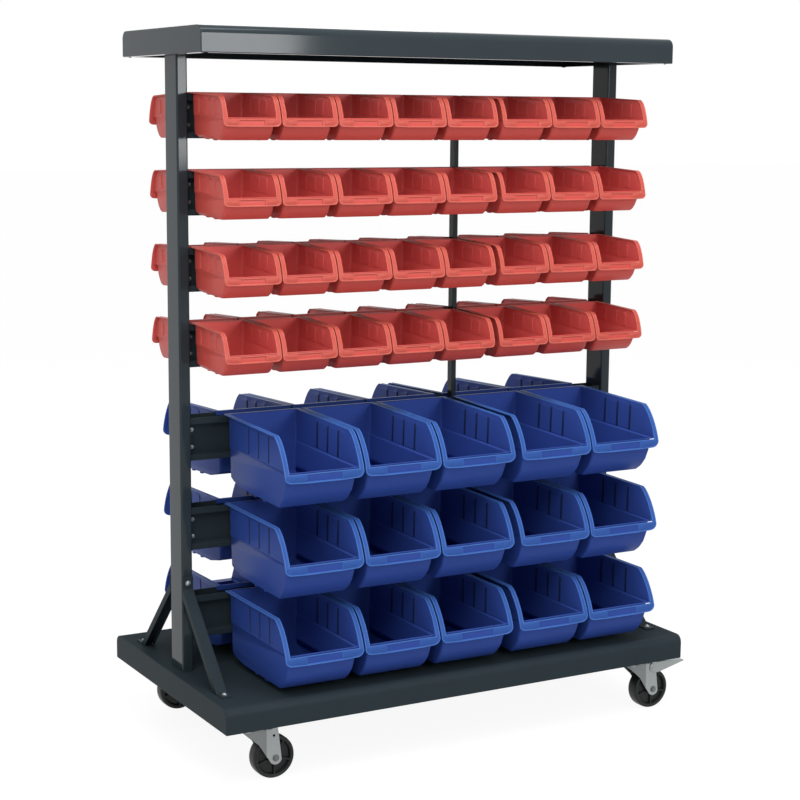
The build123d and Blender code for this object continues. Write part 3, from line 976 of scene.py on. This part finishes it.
def press_ribs(bm, form):
    """Presses the ribs into the tub's sides, above their step."""

    def sides(low=None):
        """The faces of the tub's sides, or those of them above a height."""
        return [
            f for f in bm.faces
            if abs(f.normal.x) > 0.9 and (low is None or low < f.calc_center_median().z)
        ]

    for down in (RIB_TOP, RIB_TOP + 2, form.rib_low - 2, form.rib_low):
        cut(bm, (0, 0, -down), (0, 0, 1), faces=sides())
    for place in form.ribs:
        for reach in (form.rib_width / 2, form.rib_width / 2 - 1.6):
            for side in (-1, 1):
                middle = (0, -place + side * reach, 0)
                cut(bm, middle, (0, 1, 0), faces=sides(-form.rib_low))
    pressed = set()
    for v in bm.verts:
        on_rib = any(abs(v.co.y + place) < form.rib_width / 2 - 1.5 for place in form.ribs)
        within = 0.1 - form.rib_low < v.co.z < -RIB_TOP - 0.1
        if on_rib and within and abs(v.co.x) > form.corner * 4:
            v.co.x -= math.copysign(1.3, v.co.x)
            pressed.add(v)
    # painted shade: the pressed faces get the darker groove finish
    if form.groove:
        for face in bm.faces:
            if pressed.intersection(face.verts):
                face.material_index = GROOVE_PAINTED_SHADE


def bin_flange(bm, form):
    """The rim: a sheet over the whole bin, its opening cut out, with beads and a lip in front."""
    own = bmesh.new()
    half, leg = form.width / 2, FLANGE + BIN_WALL
    path = [(0, 0)] + curve_points(form) + [(-form.depth, -form.lip_low)]
    sheet(own, path, -half, half)
    low = [v for v in own.verts if abs(v.co.z + form.lip_low) < 0.01]
    round_corners(own, low, form.lip_corner, 6)
    recess_half, raised_half = RECESS_HALF * form.width, RAISED_HALF * form.width
    for x in (half - leg, raised_half, recess_half + LIP_SPACE, recess_half):
        for side in (-1, 1):
            cut(own, (side * x, 0, 0), (1, 0, 0))
    cut(own, (0, 0, -form.lip_top), (0, 0, 1))
    opening = [
        f for f in own.faces
        if abs(f.calc_center_median().x) < half - leg - 0.1
        and f.calc_center_median().z > -form.lip_top
    ]
    bmesh.ops.delete(own, geom=opening, context="FACES")
    merge_near(own, 2 * SLIVER)
    outwards(own, (0, -1, 1))
    for v in own.verts:
        # the lip's lower edge bows down toward its middle
        share = max(0, (v.co.z + form.lip_top) / (form.lip_top - form.lip_low))
        v.co.z += share * form.bow * (v.co.x / half) ** 2
    # painted highlight: every face starts with the bead's colour, which the border rings left by
    # the insets keep
    for face in own.faces:
        face.material_index = BEAD_PAINTED_HIGHLIGHT
    rest = own.faces[:]
    for thickness, depth in ((BEAD, 0), (0.6, -0.5)):
        bmesh.ops.inset_region(
            own, faces=rest, thickness=thickness, depth=depth, use_even_offset=True,
            use_boundary=True,
        )
    # painted light: the flange's faces inside the bead borders get the rim's tint for the light
    # falling on them
    for face in rest:
        face.material_index = RIM_PAINTED_LIGHT

    def lip(low_x, high_x):
        """The lip's inner faces whose middles lie between two distances from the centre."""
        return [
            f for f in own.faces
            if low_x < abs(f.calc_center_median().x) < high_x and f.normal.y < -0.9
            and 2 * BEAD - form.lip_low < f.calc_center_median().z < -form.lip_top - 2 * BEAD
        ]

    recess = lip(-1, recess_half)
    bmesh.ops.inset_region(own, faces=recess, thickness=1, depth=-1.3, use_even_offset=True)
    for face in recess:
        face.material_index = BODY
    raised = lip(recess_half + LIP_SPACE, raised_half)
    bmesh.ops.inset_region(own, faces=raised, thickness=1.2, depth=0.5, use_even_offset=True)
    join(bm, own)


def bin_hook(bm, form):
    """The strip behind the rim that drops over the rail's upper lip."""
    own = bmesh.new()
    half = form.width / 2 - 0.5
    sheet(own, [(4.4, -8), (4.4, 0), (-1, 0)], -half, half)
    outwards(own, (0, 1, 1))
    join(bm, own)


def bin_nubs(bm, form):
    """The small nubs under the floor, open at their roofs."""
    floor, foot = form.levels[-1][:2]
    for place in form.nubs:
        for side in (-1, 1):
            own = bmesh.new()
            x = side * (foot - 4)
            block(
                own, (x - 3, -place - 5, -floor - form.nub_drop), (x + 3, -place + 5, -floor + 1)
            )
            round_edges(own, uprights(own), 2.5, 2)
            roof = [f for f in own.faces if f.normal.z > 0.9]
            bmesh.ops.delete(own, geom=roof, context="FACES")
            join(bm, own)


def bin_shape(form):
    """One bin in its own place: rim at z 0, back at y 0, front toward -Y."""
    bm = bmesh.new()
    bin_tub(bm, form)
    bin_flange(bm, form)
    bin_hook(bm, form)
    bin_nubs(bm, form)
    return bm


def hung(x, top, turn, hang):
    """The place of a bin on a rail: hooked on the upper lip, its nose down by the hanging angle."""
    return (
        Matrix.Translation((x, HOOK_OUT if turn else -HOOK_OUT, top + HOOK_RISE))
        @ Matrix.Rotation(turn, 4, "Z")
        @ Matrix.Rotation(math.radians(hang), 4, "X")
    )


def bin_row(template, node, ending, places, tone):
    """Like bins as one piece, red or blue, which rides on the body named like their node."""
    finishes = BIN_FINISHES[tone]
    piece(
        repeated(template, places), node + ending, node, finishes[0], [node],
        wall=BIN_WALL, bevel=0.14, segments=1, crease=32, extra=finishes[1:],
        inner=finishes.index(tone + "_inside"), clamp=False,
    )


class CART_OT_small_bins(bpy.types.Operator):
    """Make the rows of small bins"""

    bl_idname = "cart.small_bins"
    bl_label = "Small Bins"

    def execute(self, context):
        template = mesh_of(bin_shape(SMALL), "small_bin")
        for face, turn in FACES:
            for row, top in enumerate(RAIL_TOPS["small"], 1):
                places = [hung(x, top, turn, SMALL_HANG) for x in SMALL_SPOTS]
                bin_row(template, f"small_bins_{face}_{row}", "_tubs", places, "red")
        bpy.data.meshes.remove(template)
        return {"FINISHED"}


class CART_OT_large_bins(bpy.types.Operator):
    """Make the rows of large bins"""

    bl_idname = "cart.large_bins"
    bl_label = "Large Bins"

    def execute(self, context):
        template = mesh_of(bin_shape(LARGE), "large_bin")
        for face, turn in FACES:
            for row, (top, hang) in enumerate(zip(RAIL_TOPS["large"], LARGE_HANGS), 1):
                places = [hung(x, top, turn, hang) for x in LARGE_SPOTS]
                if face == "front" and row == 1:
                    # these bins lift one by one
                    for i, place in enumerate(places, 1):
                        bin_row(template, f"large_bin_{i}", "_tub", [place], "blue")
                else:
                    bin_row(template, f"large_bins_{face}_{row}", "_tubs", places, "blue")
        bpy.data.meshes.remove(template)
        return {"FINISHED"}


# Studio

# Each lamp: its place, its target, its size and its power
LAMPS = {
    "key": ((-2.3, -2.4, 2.9), (0, 0, 0.6), (1.6, 1.6), 48),
    "fill": ((0.77, -3, 1.36), (-0.4, -0.1, 1.2), (0.6, 0.86), 27),
    "top": ((-0.4, -1.3, 3.4), (0, -0.1, 0.6), (2.4, 1.6), 80),
    "rear": ((1.1, 2.8, 2.7), (0, 0, 0.6), (1.4, 1.4), 26),
}
# Strength of the surroundings as they light surfaces. They are seen at full white
ROOM_LIGHT = 0.76
# The floor's own light where it is seen, and its share against the lit floor
FLOOR_GLOW = 1.08
FLOOR_SHARE = 0.85
CAMERA_PLACE = (-1.6264, -2.8706, 1.1054)
# Azimuth, elevation and roll, in degrees
CAMERA_ANGLES = (-29.48, 8.92, 0.43)
FOCAL_PIXELS, PICTURE_PIXELS = 1824.95, 800
SENSOR_WIDTH = 36


def lamp(name, place, target, size, power):
    """A soft rectangular lamp aimed at a point."""
    data = bpy.data.lights.new(name, "AREA")
    data.shape = "RECTANGLE"
    data.size, data.size_y = size
    data.energy = power
    obj = bpy.data.objects.new(name, data)
    obj.location = place
    obj.rotation_euler = (Vector(target) - Vector(place)).to_track_quat("-Z", "Y").to_euler()
    bpy.context.scene.collection.objects.link(obj)


def seen_rays(nodes, links):
    """1 for rays that show a surface directly, in a mirror or through glass."""
    path = nodes.new("ShaderNodeLightPath")
    seen = path.outputs["Is Camera Ray"]
    for kind in ("Is Glossy Ray", "Is Transmission Ray"):
        either = nodes.new("ShaderNodeMath")
        either.operation = "MAXIMUM"
        links.new(seen, either.inputs[0])
        links.new(path.outputs[kind], either.inputs[1])
        seen = either.outputs[0]
    return seen


def make_floor(scene):
    """A pale floor that glows where it is seen."""
    bm = bmesh.new()
    bmesh.ops.create_grid(bm, x_segments=1, y_segments=1, size=30)
    mesh = mesh_of(bm, "floor")
    floor = bpy.data.objects.new("floor", mesh)
    scene.collection.objects.link(floor)
    nodes, links, shader = nodes_of("pale_floor")
    shader.inputs["Base Color"].default_value = (0.6, 0.6, 0.6, 1)
    shader.inputs["Roughness"].default_value = 0.9
    shader.inputs["Specular IOR Level"].default_value = 0.1
    glow = nodes.new("ShaderNodeEmission")
    glow.inputs["Strength"].default_value = FLOOR_GLOW
    mixed = nodes.new("ShaderNodeMixShader")
    share = nodes.new("ShaderNodeMath")
    share.operation = "MULTIPLY"
    share.inputs[1].default_value = FLOOR_SHARE
    links.new(seen_rays(nodes, links), share.inputs[0])
    links.new(share.outputs[0], mixed.inputs[0])
    links.new(shader.outputs[0], mixed.inputs[1])
    links.new(glow.outputs[0], mixed.inputs[2])
    links.new(mixed.outputs[0], nodes["Material Output"].inputs["Surface"])
    mesh.materials.append(bpy.data.materials["pale_floor"])


def make_room(scene):
    """White surroundings that light surfaces less than they show."""
    world = bpy.data.worlds.new("white_room")
    world.use_nodes = True
    scene.world = world
    nodes, links = world.node_tree.nodes, world.node_tree.links
    sky = nodes["Background"]
    level = ranged(nodes, links, seen_rays(nodes, links), ROOM_LIGHT, 1)
    sky.inputs["Color"].default_value = (1, 1, 1, 1)
    links.new(level, sky.inputs["Strength"])


def make_camera(scene):
    """The camera at the photograph's place, turned and zoomed as it was."""
    data = bpy.data.cameras.new("camera")
    data.sensor_width = SENSOR_WIDTH
    data.lens = FOCAL_PIXELS / PICTURE_PIXELS * SENSOR_WIDTH
    data.clip_start, data.clip_end = 0.1, 100
    camera = bpy.data.objects.new("camera", data)
    scene.collection.objects.link(camera)
    azimuth, elevation, roll = (math.radians(d) for d in CAMERA_ANGLES)
    back = Vector((
        math.sin(azimuth) * math.cos(elevation), -math.cos(azimuth) * math.cos(elevation),
        math.sin(elevation),
    ))
    right = (-back).cross(Vector((0, 0, 1))).normalized()
    up = right.cross(-back)
    across = right * math.cos(roll) + up * math.sin(roll)
    above = up * math.cos(roll) - right * math.sin(roll)
    turn = Matrix((across, above, back)).transposed().to_4x4()
    camera.matrix_world = Matrix.Translation(CAMERA_PLACE) @ turn
    scene.camera = camera


class CART_OT_studio(bpy.types.Operator):
    """Make the floor, the white surroundings, the soft lamps and the camera"""

    bl_idname = "cart.studio"
    bl_label = "Studio"

    def execute(self, context):
        scene = context.scene
        scene.view_settings.view_transform = "Standard"
        make_floor(scene)
        make_room(scene)
        for name, settings in LAMPS.items():
            lamp(name, *settings)
        make_camera(scene)
        return {"FINISHED"}


# Add-on

STEPS = (
    CART_OT_finishes,
    CART_OT_pans,
    CART_OT_posts,
    CART_OT_braces,
    CART_OT_rails,
    CART_OT_castors,
    CART_OT_small_bins,
    CART_OT_large_bins,
    CART_OT_studio,
)


class CART_PT_panel(bpy.types.Panel):
    """Sizes, finishes and steps of the bin cart"""

    bl_idname = "CART_PT_panel"
    bl_label = "Bin Cart"
    bl_space_type = "VIEW_3D"
    bl_region_type = "UI"
    bl_category = "Bin Cart"

    def draw(self, context):
        for group in (context.scene.cart_sizes, context.scene.cart_finish):
            box = self.layout.box()
            for key in group.__annotations__:
                box.prop(group, key)
        for step in STEPS:
            self.layout.operator(step.bl_idname)


CLASSES = (CartFinish, CartSizes, *STEPS, CART_PT_panel)


def register():
    """Registers the classes and the scene's properties."""
    for cls in CLASSES:
        bpy.utils.register_class(cls)
    bpy.types.Scene.cart_finish = PointerProperty(type=CartFinish)
    bpy.types.Scene.cart_sizes = PointerProperty(type=CartSizes)


def unregister():
    """Takes the properties and classes away again."""
    del bpy.types.Scene.cart_sizes
    del bpy.types.Scene.cart_finish
    for cls in reversed(CLASSES):
        bpy.utils.unregister_class(cls)


def main():
    """Builds the cart step by step."""
    register()
    for step in STEPS:
        area, name = step.bl_idname.split(".")
        getattr(getattr(bpy.ops, area), name)()


if __name__ == "__main__":
    main()
